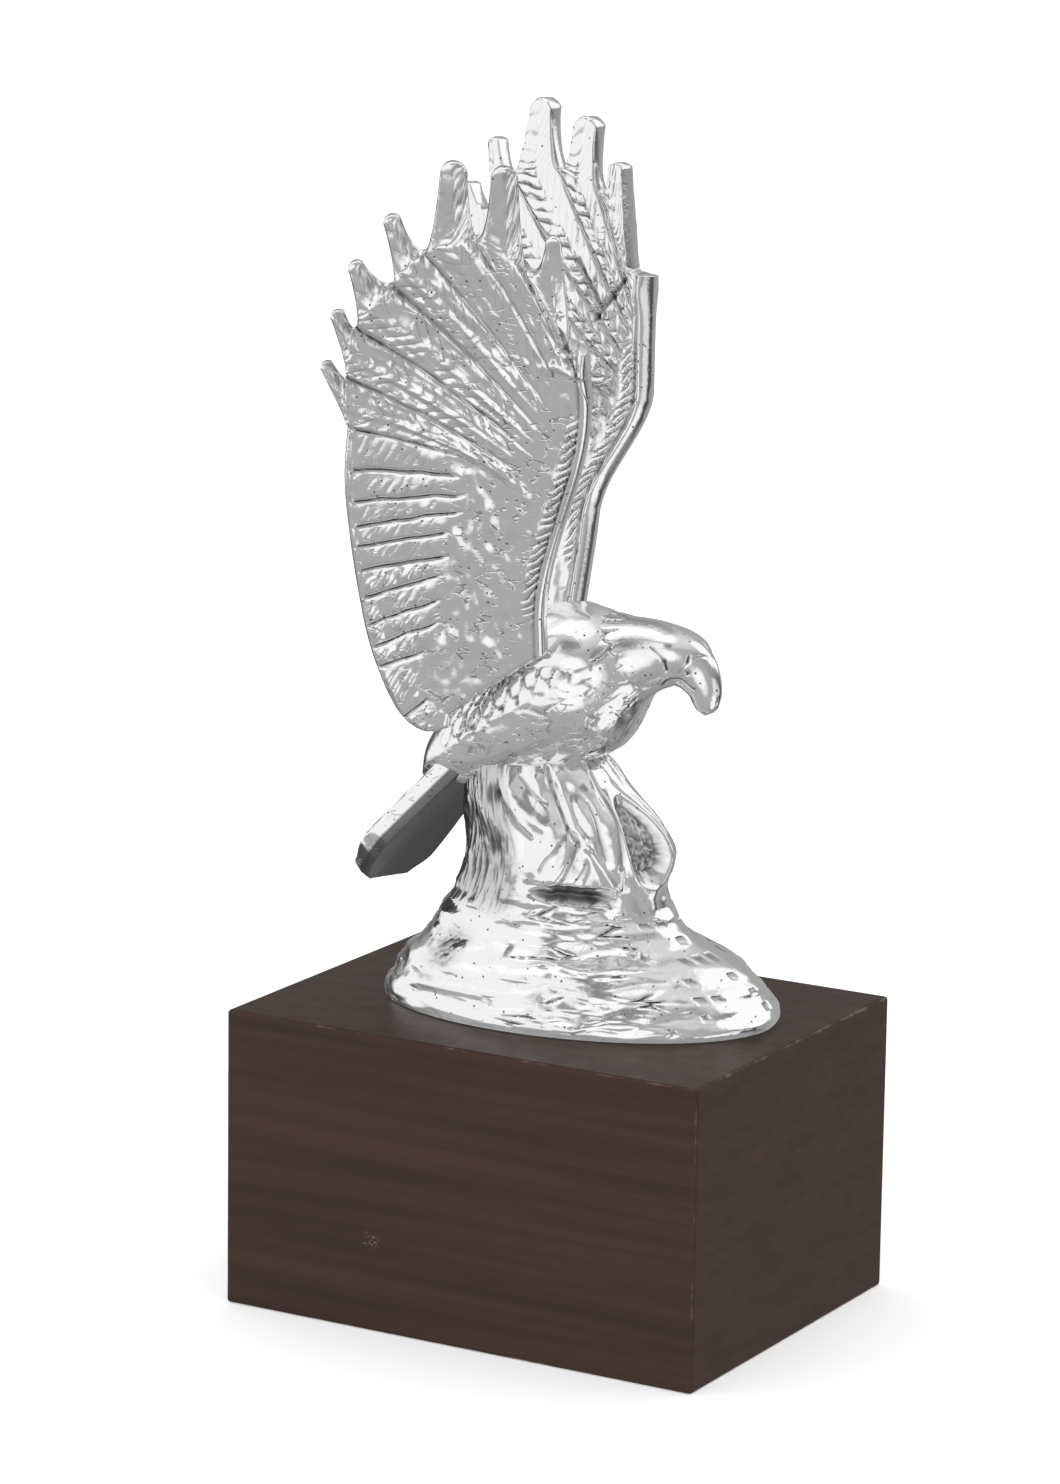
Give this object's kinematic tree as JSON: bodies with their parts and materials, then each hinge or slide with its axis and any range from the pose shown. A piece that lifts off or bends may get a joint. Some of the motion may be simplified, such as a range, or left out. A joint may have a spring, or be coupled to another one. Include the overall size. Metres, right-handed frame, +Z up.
{
  "type": "eagle statue",
  "caption": "Cast eagle with raised cupped wings, head turned down with a hooked beak, standing on a ridged rock fixed to a plain wooden block plinth.",
  "frame": {"origin": "middle of the plinth's underside, where it rests", "axes": "+Z up; +X along the plinth's long side, the way the bird heads; +Y across the plinth"},
  "size_m": [0.102, 0.083, 0.2296],
  "materials": {
    "cast_metal": "polished casting with small pits",
    "stained_wood": "dark brown stain, satin"
  },
  "bodies": {
    "root": {"eagle": "cast_metal", "plinth": "stained_wood"}
  },
  "joints": []
}
